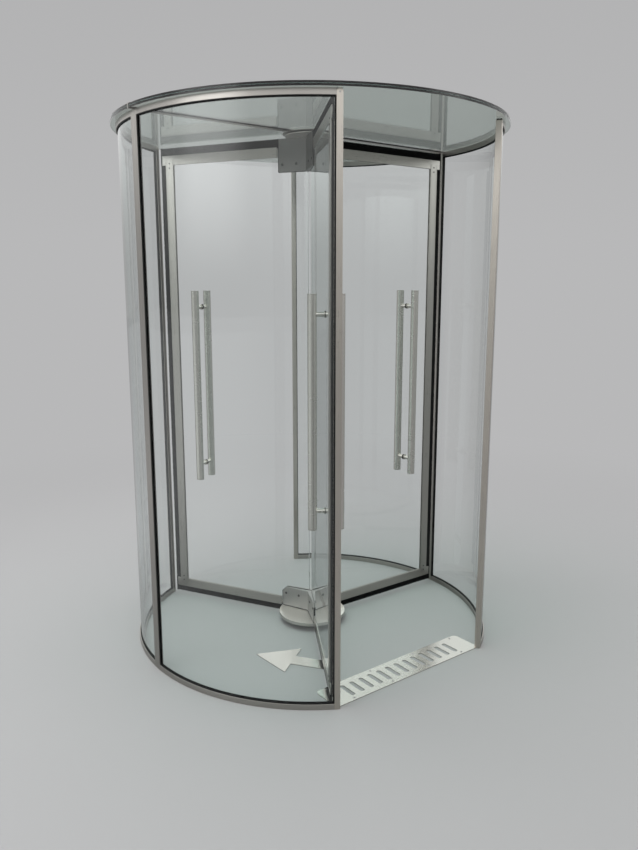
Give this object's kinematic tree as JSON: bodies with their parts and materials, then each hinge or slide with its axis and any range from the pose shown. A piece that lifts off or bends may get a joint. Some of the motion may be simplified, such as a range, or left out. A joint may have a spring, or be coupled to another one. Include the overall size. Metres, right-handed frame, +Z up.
{
  "type": "revolving door",
  "caption": "All-glass revolving door: curved glass drum in slim steel channels, glass ceiling, and turning glass wings with brush seals and tubular pull handles.",
  "frame": {"origin": "on the floor at the turning axis", "axes": "+Z up along the turning axis, the front doorway faces -Y, the walls stand at -X and +X"},
  "size_m": [1.64, 1.6396, 2.202],
  "materials": {
    "wall_glass": "clear, toughened",
    "ceiling_glass": "clear, laminated",
    "wing_glass": "clear, toughened",
    "frame_steel": "satin",
    "wing_steel": "satin",
    "handle_steel": "satin",
    "hub_steel": "polished",
    "floor_steel": "polished",
    "brush": "bristle"
  },
  "bodies": {
    "drum": {"front_left_wall_glass": "wall_glass", "rear_left_wall_glass": "wall_glass", "front_right_wall_glass": "wall_glass", "rear_right_wall_glass": "wall_glass", "left_base_rail": "frame_steel", "right_base_rail": "frame_steel", "left_top_rail": "frame_steel", "right_top_rail": "frame_steel", "front_left_post": "frame_steel", "front_right_post": "frame_steel", "rear_right_post": "frame_steel", "rear_left_post": "frame_steel", "left_mullion": "frame_steel", "right_mullion": "frame_steel", "front_ceiling_glass": "ceiling_glass", "rear_ceiling_glass": "ceiling_glass", "ceiling_joint_bar": "frame_steel", "ceiling_bearing": "frame_steel", "floor_bearing": "floor_steel", "threshold_plate": "floor_steel", "direction_arrow": "floor_steel"},
    "wings": {"front_wing_glass": "wing_glass", "front_wing_bottom_rail": "wing_steel", "front_wing_top_rail": "wing_steel", "front_wing_stile": "wing_steel", "front_wing_brushes": "brush", "front_wing_handles": "handle_steel", "right_wing_glass": "wing_glass", "right_wing_bottom_rail": "wing_steel", "right_wing_top_rail": "wing_steel", "right_wing_stile": "wing_steel", "right_wing_brushes": "brush", "right_wing_handles": "handle_steel", "rear_wing_glass": "wing_glass", "rear_wing_bottom_rail": "wing_steel", "rear_wing_top_rail": "wing_steel", "rear_wing_stile": "wing_steel", "rear_wing_brushes": "brush", "rear_wing_handles": "handle_steel", "lower_wing_clamps": "wing_steel", "upper_wing_clamps": "wing_steel", "floor_hub_disc": "hub_steel", "ceiling_hub_disc": "hub_steel"}
  },
  "joints": [
    {"name": "wings_turn", "type": "hinge", "parent": "drum", "child": "wings", "pos_m": [0, 0, 0], "axis": [0, 0, 1], "continuous": true}
  ]
}
